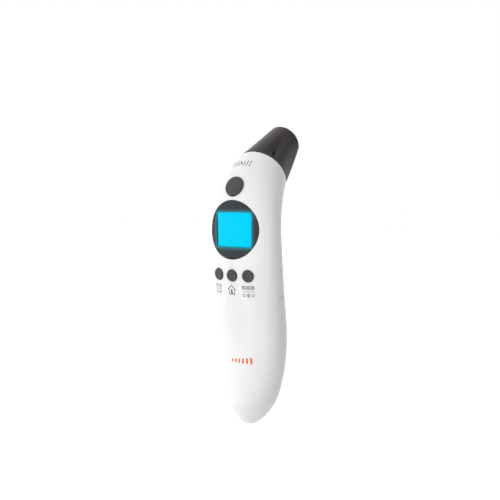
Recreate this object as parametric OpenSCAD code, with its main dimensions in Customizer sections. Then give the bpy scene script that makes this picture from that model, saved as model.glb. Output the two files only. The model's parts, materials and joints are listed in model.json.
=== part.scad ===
// Digital ear and forehead thermometer: a curved upright handle whose head leans back into a
// removable probe cap. Millimetres. +Z runs up the handle, the display faces -Y, +X is the
// display's right-hand side as it is read. The origin is on the handle's centre line, at the
// middle of the grip.
//
// The housing is swept along a centre line in the plane X = 0. Each cross-section stands square
// to that line and is two half ovals, front and rear, that meet at the widest line.

/* [Centre line] */
// Distances along the centre line at which its lean is given
lean_at = [0, 30, 60, 85, 105, 120, 135];
// Lean towards the back at those distances, in degrees
lean_deg = [8, -3, -10, -3.5, 7.5, 33.5, 53.5];
// Length of the white housing along the centre line
housing_len = 133; // [131:0.5:135]
// Distance along the centre line of the grip's middle, where the origin is
grip_at = 45; // [40:1:50]

/* [Housing] */
// Distances along the centre line at which the section is given
size_at = [0, 30, 60, 85, 105, 122, 136];
// Half width of the section
half_width = [7.5, 16.3, 19.1, 20, 19.4, 17.2, 13.2];
// Depth of the front half
front_depth = [14, 11.7, 10.9, 10.6, 11.3, 13.2, 12.9];
// Depth of the rear half
rear_depth = [12.3, 16.1, 16.4, 14.1, 12.7, 12.7, 12.4];
// Squareness of the rear half, where 2 is an ellipse
rear_square = 2.2; // [2:0.1:2.6]
// Length of the rounded tail
tail_len = 15.8; // [14:0.2:18]
// Wall thickness
wall = 2; // [1.8:0.1:2.2]
// Distance along the centre line at which the battery door ends
door_end = 67; // [66:0.5:68]
// Gap round the battery door
door_gap = 0.15; // [0.12:0.01:0.2]

/* [Display] */
// Distance along the centre line of the display's middle
display_at = 100; // [99:0.5:101]
// Radius of the display lens
lens_r = 14.15; // [14:0.05:14.3]
// Thickness of the display lens
lens_t = 1; // [0.8:0.1:1]
// Half width of the lit area
lit_x = 10; // [9:0.1:10]
// Half height of the lit area
lit_z = 8.4; // [8:0.1:8.4]
// Depth of the lit face behind the front of the lens
lit_depth = 3.5; // [3.5:0.05:3.6]
// Depth of the main board behind the front of the lens
board_depth = 7.6; // [7.6:0.1:8]

/* [Keys] */
// Distance along the centre line of the row of small keys
key_at = 79.4; // [79:0.1:80]
// Sideways spacing of the small keys
key_gap = 8.65; // [8.4:0.05:8.8]
// Radius of a small key
key_r = 2.85; // [2.8:0.05:3]
// Travel of a small key
key_travel = 0.5; // [0.4:0.05:0.55]
// Distance along the centre line of the scan button
scan_at = 116.1; // [115.5:0.1:116.5]
// Radius of the scan button
scan_r = 4.9; // [4.8:0.1:5.2]
// Travel of the scan button
scan_travel = 0.8; // [0.6:0.1:0.8]
// Height that keys stand proud of the housing
key_proud = 0.7; // [0.6:0.1:0.8]

/* [Probe cap] */
// Length of the probe cap
cap_len = 29.4; // [29:0.1:30]
// Radius of the cap's measuring end
cap_tip_r = 8.6; // [8.2:0.1:9]
// Rounding of the cap's measuring end
cap_round = 2; // [1.6:0.1:2]
// Radius of the hole that the probe measures through
cap_hole_r = 5.4; // [5:0.1:5.6]
// Wall thickness of the cap
cap_wall = 1.8; // [1.6:0.1:1.8]
// Depth of the dimple in each front quarter of the cap
cap_dimple = 1.3; // [0:0.1:1.5]
// How far the cap swells in each rear quarter
cap_swell = 1; // [0:0.1:1.2]
// Length of the ear probe inside the cap
probe_len = 22; // [20:0.5:22]

/* [Batteries] */
// Radius of a battery
cell_r = 5.25; // [5.2:0.05:5.25]
// Length of a battery with its button
cell_len = 44.5; // [44:0.1:44.5]
// Distance along the centre line at which the batteries start
cell_at = 22; // [21.5:0.5:22.5]
// Lean of the batteries and of the door's slide, in degrees
slide_lean = -10.5; // [-11:0.1:-10.4]

/* [Hidden] */
white = "whitesmoke";
dark = "#3a3a3c";
steel = "silver";
arc_steps = 20;    // chords in each half oval
ring_step = 3.6;   // spacing of the sections along the straight part
tail_rings = 7;    // sections in the rounded tail
tip_step = 0.05;   // place of the first of them, close to the tip
lens_gap = 0.1;    // between the lens and the housing
key_fit = 0.1;     // between a key and its hole
display_sides = 48;

// ---------------------------------------------------------------- smooth curves
// A natural cubic spline through the values v at the places k. bends() gives its second
// derivative at each place, by the usual forward and backward sweep of a tridiagonal system.
function bend_rhs(k, v, i) =
    6 * ((v[i + 1] - v[i]) / (k[i + 1] - k[i]) - (v[i] - v[i - 1]) / (k[i] - k[i - 1]));
function forward(k, v, i = 1, c = [0], d = [0]) =
    i == len(k) - 1 ? [c, d]
    : let (lo = k[i] - k[i - 1], hi = k[i + 1] - k[i], pivot = 2 * (lo + hi) - lo * c[i - 1])
      forward(k, v, i + 1, concat(c, hi / pivot),
              concat(d, (bend_rhs(k, v, i) - lo * d[i - 1]) / pivot));
function backward(cd, i, m) =
    i == 0 ? concat(0, m) : backward(cd, i - 1, concat(cd[1][i] - cd[0][i] * m[0], m));
function bends(k, v) = backward(forward(k, v), len(k) - 2, [0]);
function piece(k, s, i = 0) = i >= len(k) - 2 || s < k[i + 1] ? i : piece(k, s, i + 1);
function curve(k, v, m, s) =
    let (i = piece(k, s), h = k[i + 1] - k[i], f = (s - k[i]) / h, g = 1 - f)
    g * v[i] + f * v[i + 1] + h * h / 6 * ((pow(g, 3) - g) * m[i] + (pow(f, 3) - f) * m[i + 1]);

lean_bends = bends(lean_at, lean_deg);
width_bends = bends(size_at, half_width);
front_bends = bends(size_at, front_depth);
rear_bends = bends(size_at, rear_depth);
function lean(s) = curve(lean_at, lean_deg, lean_bends, s);
function width(s) = curve(size_at, half_width, width_bends, s);
function front(s) = curve(size_at, front_depth, front_bends, s);
function rear(s) = curve(size_at, rear_depth, rear_bends, s);

// ---------------------------------------------------------------- centre line
// Its points every millimetre, [y, z], summed from the lean at the middle of each millimetre.
line_from_tail = [
    for (i = 0, p = [0, 0]; i <= 140; p = p + [sin(lean(i + 0.5)), cos(lean(i + 0.5))], i = i + 1) p
];
grip_centre = line_from_tail[grip_at];
function line(s) =
    let (i = floor(s), f = s - i)
    line_from_tail[i] * (1 - f) + line_from_tail[i + 1] * f - grip_centre;
function up(t) = [0, sin(t), cos(t)];        // along a line that leans back by t
function back(t) = [0, cos(t), -sin(t)];     // square to it, towards the rear
function line3(s) = [0, line(s)[0], line(s)[1]];

// ---------------------------------------------------------------- housing surface
// The tail closes like an ellipsoid; an inner surface starts one wall higher.
function tail(s, inset) =
    let (u = min(1, (s - inset) / (tail_len - inset))) sqrt(max(0, 1 - (1 - u) * (1 - u)));
function sgn_pow(v, e) = sign(v) * pow(abs(v), e);
// Point at distance s; turn 0 is +X, 90 the rear and 270 the front. No point is further to the
// front than lift, which sets a parting face.
no_lift = -100;
function skin(s, turn, inset = 0, lift = no_lift) =
    let (
        t = lean(s), c = tail(s, inset), rearward = sin(turn) > 0, e = rearward ? 2 / rear_square : 1,
        depth = (rearward ? rear(s) : front(s)) - inset
    )
    line3(s) + [(width(s) - inset) * c * sgn_pow(cos(turn), e), 0, 0]
    + back(t) * max(lift, depth * c * sgn_pow(sin(turn), e));

function stations(from, to) = concat(
    from < tail_len
        ? [for (i = [0:tail_rings - 1])
            from + (tail_len - from) * (1 - cos(90 * (i + tip_step) / tail_rings))]
        : [],
    let (start = max(from, tail_len), n = ceil((to - start) / ring_step))
    [for (i = [0:n]) start + (to - start) * i / n]
);

// A half shell: a U-shaped section swept along the line, closed by a strip at each end.
module half_shell(from, to, turn0, lift = no_lift) {
    outer_s = stations(from, to);
    inner_s = stations(from < tail_len ? wall : from, to);
    n = arc_steps;
    row = 2 * (n + 1);
    rings = len(outer_s);
    points = [
        for (k = [0:rings - 1]) each concat(
            [for (j = [0:n]) skin(outer_s[k], turn0 + 180 * j / n, 0, lift)],
            [for (j = [0:n]) skin(inner_s[k], turn0 + 180 - 180 * j / n, wall, lift)]
        )
    ];
    sides = [
        for (k = [0:rings - 2], j = [0:row - 1])
        let (a = k * row + j, b = k * row + (j + 1) % row)
        each [[a, b + row, b], [a, a + row, b + row]]
    ];
    ends = [
        for (j = [0:n - 1], top = [0, 1])
        let (k = top * (rings - 1) * row, a = k + j, b = a + 1, d = k + row - 1 - j, c = d - 1)
        each top == 0 ? [[a, b, c], [a, c, d]] : [[a, c, b], [a, d, c]]
    ];
    polyhedron(points, concat(sides, ends), convexity = 6);
}

// A closed solid through rings of points, each ring anticlockwise seen from the last ring's side.
module loft(rings) {
    n = len(rings[0]);
    count = len(rings);
    last = (count - 1) * n;
    low = count * n;
    function centre(ring) = [for (axis = [0:2]) [for (p = ring) p[axis]] * [for (p = ring) 1] / n];
    points = concat([for (ring = rings) each ring], [centre(rings[0]), centre(rings[count - 1])]);
    polyhedron(points, concat(
        [for (k = [0:count - 2], j = [0:n - 1])
            let (a = k * n + j, b = k * n + (j + 1) % n) each [[a, b + n, b], [a, a + n, b + n]]],
        [for (j = [0:n - 1]) [low, j, (j + 1) % n]],
        [for (j = [0:n - 1]) [low + 1, last + (j + 1) % n, last + j]]
    ), convexity = 6);
}

// The solid inside the housing's skin, pulled in by inset.
module filled(from, to, inset) {
    n = 2 * arc_steps;
    loft([for (s = stations(from, to)) [for (j = [0:n - 1]) skin(s, 360 * j / n, inset)]]);
}

// ---------------------------------------------------------------- places on the front
// A point of the front skin at distance s and sideways place x.
function front_skin(s, x) =
    line3(s) + [x, 0, 0] - back(lean(s)) * front(s) * sqrt(max(0, 1 - pow(x / width(s), 2)));
function unit(v) = v / norm(v);
function inward(s, x) =
    let (d = 0.1, along = front_skin(s + d, x) - front_skin(s - d, x))
    unit(cross(along, front_skin(s, x + d) - front_skin(s, x - d)));
// Stands children at the front skin: +Y goes in through the wall, +X stays sideways.
module on_front(s, x = 0) {
    n = inward(s, x);
    side = unit([n[1], -n[0], 0]);
    rise = cross(side, n);
    p = front_skin(s, x);
    multmatrix([
        [side[0], n[0], rise[0], p[0]],
        [side[1], n[1], rise[1], p[1]],
        [side[2], n[2], rise[2], p[2]],
        [0, 0, 0, 1],
    ]) children();
}
// Stands children on the centre line, +Z along it and +Y to the rear.
module on_line(s, t = undef) {
    translate(line3(s)) rotate([-(is_undef(t) ? lean(s) : t), 0, 0]) children();
}
module disc(r, y0, y1, sides = 48) {
    translate([0, y0, 0]) rotate([-90, 0, 0]) cylinder(r = r, h = y1 - y0, $fn = sides);
}
module slab(x, y0, y1, z, dz = 0) {
    translate([-x, y0, dz - z]) cube([2 * x, y1 - y0, 2 * z]);
}

display_point = front_skin(display_at, 0);
display_in = inward(display_at, 0);
display_up = cross([1, 0, 0], display_in);
head_lean = lean(housing_len);
// Depth of the skin behind the display's tangent plane, straight in from [x, z] on that plane.
function skin_s(x, z, s, tries = 4) =
    tries == 0 ? s
    : skin_s(x, z, s + z - (front_skin(s, x) - display_point) * display_up, tries - 1);
function skin_depth(x, z) =
    (front_skin(skin_s(x, z, display_at + z), x) - display_point) * display_in;

// A round plate behind the display opening, with faces that follow the skin, or a ring if r_in
// isn't 0. A number in floor_at makes the back flat.
module display_plate(r_in, r_out, top, bottom, floor_at = undef) {
    rows = 5;
    n = display_sides;
    full = r_in == 0;
    edge = full ? r_out / rows : r_in;
    rim_points = [
        for (i = [0:rows], j = [0:n - 1])
        let (a = 360 * j / n, r = edge + (r_out - edge) * i / rows, x = r * cos(a), z = r * sin(a))
        [x, skin_depth(x, z) + top, z]
    ];
    top_points = full ? concat(rim_points, [[0, top, 0]]) : rim_points;
    low_points = [
        for (p = top_points) [p[0], is_undef(floor_at) ? p[1] + bottom - top : floor_at, p[2]]
    ];
    m = len(top_points);
    c = rows * n;
    skins = [
        for (i = [0:rows - 1], j = [0:n - 1])
        let (a = i * n + j, b = i * n + (j + 1) % n)
        each [[a, b, b + n], [a, b + n, a + n], [m + a, m + b + n, m + b], [m + a, m + a + n, m + b + n]]
    ];
    outer_wall = [
        for (j = [0:n - 1]) let (a = c + j, b = c + (j + 1) % n) each [[a, b, m + b], [a, m + b, m + a]]
    ];
    inner = [
        for (j = [0:n - 1]) let (a = j, b = (j + 1) % n)
        each full ? [[m - 1, b, a], [2 * m - 1, m + a, m + b]] : [[a, m + b, b], [a, m + a, m + b]]
    ];
    polyhedron(concat(top_points, low_points), concat(skins, outer_wall, inner), convexity = 4);
}

// ---------------------------------------------------------------- sweeps
function bezier(p, f) =
    let (g = 1 - f) g * g * g * p[0] + 3 * g * g * f * p[1] + 3 * g * f * f * p[2] + f * f * f * p[3];
function round_outline(r, sides) =
    [for (i = [0:sides - 1]) r * [cos(360 * i / sides), sin(360 * i / sides)]];
function flat_outline(w, t) = [[w / 2, t / 2], [-w / 2, t / 2], [-w / 2, -t / 2], [w / 2, -t / 2]];

// An outline swept along a path of points; its first axis stays square to the path and level.
module sweep(path, outline) {
    last = len(path) - 1;
    loft([
        for (i = [0:last])
        let (
            along = unit(path[min(i + 1, last)] - path[max(i - 1, 0)]),
            across = unit(cross(along, cross([1, 0, 0], along))),
            over = cross(along, across)
        )
        [for (q = outline) path[i] + across * q[0] + over * q[1]]
    ]);
}
module wire(p, r = 0.45) {
    steps = 12;
    sweep([for (i = [0:steps]) bezier(p, i / steps)], round_outline(r, 8));
}

// ---------------------------------------------------------------- fasteners
// Screw: the head sits on y = 0 and the shank runs towards -Y.
module screw(head_r, head_h, shank_r, length) {
    difference() {
        union() {
            disc(head_r, 0, head_h);
            disc(shank_r, -length, 0);
        }
        for (turn = [0, 90]) translate([0, head_h, 0]) rotate([0, turn, 0]) {
            slab(head_r * 0.62, -head_h * 0.5, 0.1, head_r * 0.16);
        }
    }
}
mould_lean = -4;                        // draw direction of the shells
case_screws = [[72.5, 13.4], [112, 12.4]]; // distance along the centre line, sideways place
case_post_r = 2.6;
case_shank_r = 1.1;
case_head_y = 5.2;
module at_case_screws() {
    for (c = case_screws, side = [-1, 1]) {
        on_line(c[0], mould_lean) translate([side * c[1], 0, 0]) children();
    }
}
board_post = [12, -15.2];               // on the display's plane
scan_post_x = 8.2;
board_t = 1;
scan_board_depth = 8.6;
module at_board_screws() {
    for (side = [-1, 1]) {
        on_front(display_at) translate([side * board_post[0], board_depth + board_t, board_post[1]]) {
            children();
        }
        on_front(scan_at) translate([side * scan_post_x, scan_board_depth + board_t, 0]) children();
    }
}

// ---------------------------------------------------------------- housing
module key_hole(r) {
    disc(r + key_fit, -4, 6);
}
module front_shell() color(white) difference() {
    union() {
        half_shell(0, housing_len, 180);
        intersection() {
            filled(30, housing_len - 3, wall - 0.4);
            union() {
                at_case_screws() disc(case_post_r, -20, 0);
                on_front(display_at) {
                    for (side = [-1, 1]) translate([side * board_post[0], 0, board_post[1]]) {
                        disc(1.9, 0, board_depth);
                    }
                }
                on_front(scan_at) {
                    for (side = [-1, 1]) translate([side * scan_post_x, 0, 0]) {
                        disc(1.5, 0, scan_board_depth);
                    }
                }
            }
        }
    }
    on_front(display_at) disc(lens_r + lens_gap, -4, board_depth + 0.1);
    for (x = [-key_gap, 0, key_gap]) on_front(key_at, x) key_hole(key_r);
    on_front(scan_at) key_hole(scan_r);
    at_case_screws() disc(case_shank_r + 0.02, -7, 0.1);
    at_board_screws() disc(0.87, -4, 0);
}
module rear_shell() color(white) difference() {
    union() {
        half_shell(door_end + 0.35, housing_len, 0);
        intersection() {
            filled(68.5, housing_len - 3, wall - 0.4);
            at_case_screws() disc(case_post_r + 0.6, 0, 20);
        }
    }
    at_case_screws() {
        disc(case_shank_r + 0.2, -0.1, 20);
        disc(2.4, case_head_y, 20);
    }
    // Sound holes over the buzzer
    on_line(104) for (a = [0:60:300]) rotate([0, a, 0]) translate([2.6, 0, 0]) disc(0.6, 5, 16, 24);
    on_line(104) disc(0.6, 5, 16, 24);
}
module battery_door() color(white) {
    half_shell(0, door_end, 0, door_gap);
    in_y = rear(door_end) - wall;
    // Tongue that hooks behind the rear shell
    on_line(door_end) {
        translate([-5, in_y - 2.3, -5]) cube([10, 2.8, 4.7]);
        translate([-5, in_y - 2.3, -1]) cube([10, 1.1, 4.2]);
    }
    // Thumb ribs
    for (s = [52:2.5:62]) on_line(s) translate([-3.6, rear(s) - 0.1, 0]) {
        rotate([0, 90, 0]) cylinder(r = 0.6, h = 7.2, $fn = 24);
    }
}

// ---------------------------------------------------------------- display
module display_lens() color("#20282c", 0.45) on_front(display_at) display_plate(0, lens_r, 0, lens_t);
mask_r = lens_r - 0.1;
mask_top = lens_t + 0.05;
gasket_top = mask_top + 0.25;
frame_top = gasket_top + 0.45;
glass_x = lit_x + 0.4;
glass_z = lit_z + 0.4;
glass_t = 1.7;
module glass_space() {
    slab(glass_x + 0.05, 0, board_depth + 1, glass_z + 0.05);
}
module display_mask() color("#17191b") {
    on_front(display_at) display_plate(13, mask_r, mask_top, mask_top + 0.2);
}
module lens_gasket() color("#222222") on_front(display_at) difference() {
    display_plate(13, mask_r, gasket_top, gasket_top + 0.4);
    glass_space();
}
module display_frame() color("#2b2b2b") on_front(display_at) difference() {
    union() {
        display_plate(13, mask_r, frame_top, 0, floor_at = board_depth - 0.05);
        intersection() {
            slab(11.6, 5, board_depth - 0.05, 10.2);
            disc(mask_r - 0.3, 4, board_depth);
        }
    }
    glass_space();
}
module lcd_glass() color("#00d9ff") {
    on_front(display_at) slab(glass_x, lit_depth, lit_depth + glass_t, glass_z);
}
module backlight_panel() color("#e9f7fa") {
    on_front(display_at) slab(9.2, lit_depth + glass_t + 0.1, board_depth - 0.2, 8.45, 0.25);
}
module backlight_leds() color("#fff6c8") on_front(display_at) {
    for (side = [-1, 1], z = [-4, 4]) translate([side * 9.85, 0, z]) {
        slab(0.5, lit_depth + glass_t + 0.6, board_depth - 0.1, 1.4);
    }
}
module contact_strip() color("#d98a8a") {
    on_front(display_at) slab(9.4, lit_depth + glass_t + 0.05, board_depth - 0.02, 0.2, -8.55);
}

// ---------------------------------------------------------------- boards
board_low = -24;
board_high = 11.8;
module main_board() color("#1f6b3a") on_front(display_at) difference() {
    translate([-14, board_depth, board_low]) cube([28, board_t, board_high - board_low]);
    for (side = [-1, 1]) {
        translate([side * board_post[0], 0, board_post[1]]) disc(1.1, board_depth - 1, board_depth + 2);
        translate([side * 14, 0, board_high + 1]) disc(6, board_depth - 1, board_depth + 2);
        translate([side * 14.5, 0, board_low - 0.5]) disc(2.5, board_depth - 1, board_depth + 2);
    }
}
// Stands children on the back of the main board
module on_board(x, z) {
    on_front(display_at) translate([x, board_depth + board_t, z]) children();
}
module processor() color("#262626") on_board(0, -8.5) {
    slab(4.5, 0.15, 1.4, 4.5);
    for (turn = [0:90:270]) rotate([0, turn, 0]) for (i = [-3.6:0.8:3.7]) {
        translate([i - 0.16, 0, 4.3]) cube([0.32, 0.4, 1.1]);
    }
}
module memory_chip() color("#2d2d2d") on_board(9.2, -5) {
    slab(2, 0.15, 1.2, 2.5);
    for (side = [-1, 1], z = [-1.9:1.27:2]) translate([side * 2.4 - 0.5, 0, z - 0.2]) {
        cube([1, 0.35, 0.4]);
    }
}
module crystal() color(steel) on_board(-9.2, -6.5) {
    translate([0, 1.5, -3.2]) cylinder(r = 1.4, h = 6.4, $fn = 32);
    for (side = [-1, 1]) translate([side * 0.6, 0, 0]) slab(0.2, 0, 0.4, 3.6);
}
module capacitors() color("#b08a5a") {
    for (i = [0:4]) on_board(-8 + 4 * i, -17.5) slab(0.6, 0, 0.9, 1);
    for (side = [-1, 1], z = [1.5, 5]) on_board(side * 8.6, z) slab(0.5, 0, 0.8, 0.9);
}
module buzzer() color("#1c1c1c") on_board(0, 3.6) difference() {
    disc(6, 0, 3);
    disc(0.9, 1.5, 3.1);
}
switch_h = 0.9;
switch_floor = 0.1;
press_clear = 0.3;                      // left under a stem when its key is all the way in
module switch() {
    difference() {
        slab(1.75, -switch_h, 0, 1.75);
        disc(1.35, -switch_h - 0.1, -switch_floor, 32);
    }
}
// Where a key's stem ends, for a board at this depth and a key with this travel
function stem_end(depth, travel) = depth - switch_floor - travel - press_clear;
function key_foot(x) =
    let (p = front_skin(key_at, x), n = inward(key_at, x))
    (board_depth - (p - display_point) * display_in) / (n * display_in);
function key_spot(x) = front_skin(key_at, x) + inward(key_at, x) * key_foot(x) - display_point;
module key_switches() color("#c9c9c9") {
    for (x = [-key_gap, 0, key_gap]) on_front(display_at) {
        translate([key_spot(x)[0], board_depth, key_spot(x) * display_up]) switch();
    }
}

// ---------------------------------------------------------------- keys
// A key: cap, retaining flange and stem, along its own +Y.
module key(r, flange_y, flange_r, foot, flange_low) {
    disc(r, -key_proud, flange_y + 0.1);
    intersection() {
        disc(flange_r, flange_y, flange_y + 0.8);
        translate([-10, 0, flange_low]) cube([20, 10, 20]);
    }
    disc(0.85, flange_y, foot, 32);
}
module small_key(x) color(dark) {
    on_front(key_at, x) key(key_r, 2.5, key_r + 0.8, stem_end(key_foot(x), key_travel), -10);
}
module clock_key() small_key(-key_gap);
module home_key() small_key(0);
module memory_key() small_key(key_gap);
module scan_button() color(dark) {
    on_front(scan_at) key(scan_r, 3, scan_r + 1, stem_end(scan_board_depth, scan_travel), -3.6);
}
module scan_board() color("#1f6b3a") on_front(scan_at) difference() {
    slab(9.7, scan_board_depth, scan_board_depth + board_t, 4.4);
    for (side = [-1, 1]) translate([side * scan_post_x, 0, 0]) {
        disc(1, scan_board_depth - 1, scan_board_depth + 2);
    }
}
module scan_switch() color("#c9c9c9") {
    on_front(scan_at) translate([0, scan_board_depth, 0]) switch();
}
module board_screws() color(steel) at_board_screws() screw(1.5, 0.9, 0.84, 3.6);
module shell_screws() color(steel) {
    at_case_screws() translate([0, case_head_y, 0]) screw(2, 1.3, case_shank_r, 11);
}

// Places in the frames of the main board, the scan button, the head and the battery bay
scan_point = front_skin(scan_at, 0);
scan_in = inward(scan_at, 0);
function board_place(x, y, z) = display_point + [x, 0, 0] + display_in * y + display_up * z;
function scan_place(x, y, z) = scan_point + [x, 0, 0] + scan_in * y + cross([1, 0, 0], scan_in) * z;
function head_place(x, y, z) = line3(housing_len) + [x, 0, 0] + back(head_lean) * y + up(head_lean) * z;
function bay_place(x, y, z) = line3(bay_at) + [x, 0, 0] + back(slide_lean) * y + up(slide_lean) * z;

module board_ribbon() color("#c8742c") {
    y = board_depth + board_t + 0.05;
    scan_y = scan_board_depth + board_t + 0.05;
    ends = [
        board_place(0, y, 10.6), board_place(0, y + 3, 10.6),
        scan_place(0, scan_y + 3, -2.6), scan_place(0, scan_y, -2.6),
    ];
    sweep([for (i = [0:12]) bezier(ends, i / 12)], flat_outline(8, 0.15));
}

// ---------------------------------------------------------------- head and probe
module head() on_line(housing_len) children();
function head_oval(inset) = [
    for (j = [0:47])
    let (turn = 7.5 * j, rearward = sin(turn) > 0, e = rearward ? 2 / rear_square : 1)
    [(width(housing_len) - inset) * sgn_pow(cos(turn), e),
     ((rearward ? rear(housing_len) : front(housing_len)) - inset) * sgn_pow(sin(turn), e)]
];
plate_back = -2.4;
plate_face = -0.4;
stem_r = 7.4;
module head_plate() color("#d9dadb") head() difference() {
    union() {
        translate([0, 0, plate_back]) linear_extrude(plate_face - plate_back) polygon(head_oval(wall + 0.12));
        translate([0, 0, plate_face - 0.1]) linear_extrude(1.6) polygon(head_oval(2.5));
    }
    translate([0, 0, plate_face]) linear_extrude(5) polygon(head_oval(3.6));
    translate([0, 0, -5]) cylinder(r = stem_r + 0.05, h = 9, $fn = 96);
}
module probe_nose() color("#ececec") head() rotate_extrude($fn = 96) polygon([
    [5.6, -5], [stem_r, -5], [stem_r, plate_face + 0.02], [8.2, plate_face + 0.02], [8.2, 0.6], [7, 0.9],
    [4.1, probe_len - 1], [3.6, probe_len - 0.25], [3, probe_len], [2.6, probe_len], [2.6, probe_len - 2],
    [2.9, probe_len - 2.3],
]);
module probe_nut() color("#8d8f92") head() difference() {
    translate([0, 0, -4.6]) cylinder(r = 9.3, h = -0.02 + plate_back + 4.6, $fn = 6);
    translate([0, 0, -5]) cylinder(r = stem_r + 0.03, h = 3, $fn = 96);
}
module probe_window() color("#8fa3ad", 0.6) head() translate([0, 0, probe_len - 1.2]) {
    cylinder(r = 2.56, h = 0.4, $fn = 64);
}
module waveguide() color("#d8b24a") head() difference() {
    translate([0, 0, 8.1]) cylinder(r = 2.45, h = probe_len - 9.4, $fn = 64);
    translate([0, 0, 8]) cylinder(r = 2.1, h = probe_len, $fn = 64);
}
module thermopile() color(steel) head() {
    translate([0, 0, 4.25]) cylinder(r = 2.7, h = 0.5, $fn = 64);
    translate([0, 0, 4.25]) cylinder(r = 2.3, h = 3.7, $fn = 64);
}
module sensor_block() color("#a9adb0") head() difference() {
    translate([0, 0, 1]) cylinder(r = 4.05, h = 6.9, $fn = 64);
    cylinder(r = 2.36, h = 9, $fn = 64);
    cylinder(r = 2.8, h = 4.8, $fn = 64);
}
module sensor_leads() color("#b3372f") {
    for (i = [0:3]) wire([
        head_place((i - 1.5) * 1.1, 0, 4.2), head_place((i - 1.5) * 1.1 + 2.6, 0, -7),
        board_place(i + 6.4, 10, 10), board_place(i + 6.4, board_depth + board_t + 0.1, 8),
    ], 0.25);
}

// The cap's skin in the head's frame: an oval skirt that flares out of a round cone, with a
// valley between them in each front quarter and a swelling in each rear quarter.
quarter_at = 42;
valley_spread = 14;
swell_spread = 18;
function cap_point(z, turn, inset) =
    let (
        u = z / cap_len, rearward = sin(turn) > 0,
        square = rearward ? rear_square + (2 - rear_square) * u : 2,
        depth = rearward ? rear(housing_len) : front(housing_len),
        x = cap_tip_r + (width(housing_len) - cap_tip_r) * pow(1 - u, 1.85) - inset,
        y = cap_tip_r + (depth - cap_tip_r) * pow(1 - u, 0.8) - inset,
        quarter = atan2(abs(sin(turn)), abs(cos(turn))),
        spread = rearward ? swell_spread : valley_spread,
        near = exp(-pow((quarter - quarter_at) / spread, 2)),
        pinch = near * (rearward ? -cap_swell * 4 * u * (1 - u) : cap_dimple * 6.75 * u * pow(1 - u, 2)),
        px = x * sgn_pow(cos(turn), 2 / square), py = y * sgn_pow(sin(turn), 2 / square),
        shrink = 1 - pinch / norm([px, py])
    )
    [px * shrink, py * shrink, z];
module cap_loft(from, to, inset, rings) {
    loft([
        for (i = [0:rings]) [for (j = [0:47]) cap_point(from + (to - from) * i / rings, 7.5 * j, inset)]
    ]);
}
module probe_cap() color(dark) head() {
    shoulder = cap_len - cap_round;
    tip_r = cap_point(shoulder, 0, 0)[0] - 0.03;
    difference() {
        union() {
            cap_loft(0.05, shoulder, 0, 14);
            rotate_extrude($fn = 96) polygon(concat(
                [[0.5, shoulder - 2], [tip_r - 1, shoulder - 2]],
                [[tip_r - 1, shoulder - 0.5], [tip_r, shoulder - 0.5]],
                [for (a = [0:10:90]) [tip_r - cap_round * (1 - cos(a)), shoulder + cap_round * sin(a)]],
                [[0.5, cap_len]]
            ));
        }
        cap_loft(-0.5, shoulder - 0.6, cap_wall, 12);
        translate([0, 0, 5]) cylinder(r = cap_hole_r, h = cap_len, $fn = 96);
    }
}

// ---------------------------------------------------------------- battery bay
bay_at = 44;
cell_x = 5.6;
cell_y = 2;
cell_low = cell_at - bay_at;
cell_high = cell_low + cell_len;
module bay() on_line(bay_at, slide_lean) children();
module cell() {
    cylinder(r = cell_r, h = cell_len - 0.8, $fn = 64);
    cylinder(r = 1.9, h = cell_len, $fn = 48);
}
module battery_left() color("#6f8f4f") bay() translate([-cell_x, cell_y, cell_low]) cell();
module battery_right() color("#6f8f4f") {
    bay() translate([cell_x, cell_y, cell_high]) rotate([180, 0, 0]) cell();
}
contact_t = 0.4;
plate_gap = 0.05;                       // between a plate and the battery's button
plate_room = contact_t + plate_gap;
spring_len = 4.6;
tray_low = cell_low - spring_len - plate_room;
tray_high = cell_high + spring_len + plate_room;
module battery_tray() color("#3b3d40") intersection() {
    filled(14, 76, wall + 0.4);
    bay() difference() {
        union() {
            translate([-11, cell_y - 6.6, tray_low]) cube([22, 5, tray_high - tray_low]);
            translate([-8.6, cell_y - 6.6, tray_low - 1.2]) cube([17.2, 11.6, 1.2]);
            translate([-10.2, cell_y - 6.6, tray_high]) cube([20.4, 11.6, 1.2]);
            // Steps that carry the plates, which meet the batteries' buttons
            translate([1, cell_y - 4.5, tray_low]) cube([7.2, 7.5, spring_len]);
            translate([-9, cell_y - 4.5, tray_high - spring_len]) cube([8, 7.5, spring_len]);
        }
        for (side = [-1, 1]) translate([side * cell_x, cell_y, cell_low - plate_room]) {
            cylinder(r = cell_r + 0.25, h = cell_len + 2 * plate_room, $fn = 64);
        }
        translate([-cell_x, cell_y, tray_low]) cylinder(r = 4.2, h = 10, $fn = 48);
        translate([cell_x, cell_y, tray_high - 10]) cylinder(r = 4.2, h = 10, $fn = 48);
    }
}
module coil(length) {
    turns = 4;
    sides = 12;
    steps = turns * sides;
    sweep_helix = [
        for (i = [0:steps])
        let (f = i / steps, a = 360 * turns * f, r = 3.4 - 1.1 * f)
        [r * cos(a), r * sin(a), 0.35 + (length - 0.7) * f]
    ];
    helix_tube(sweep_helix, 0.3);
}
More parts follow.
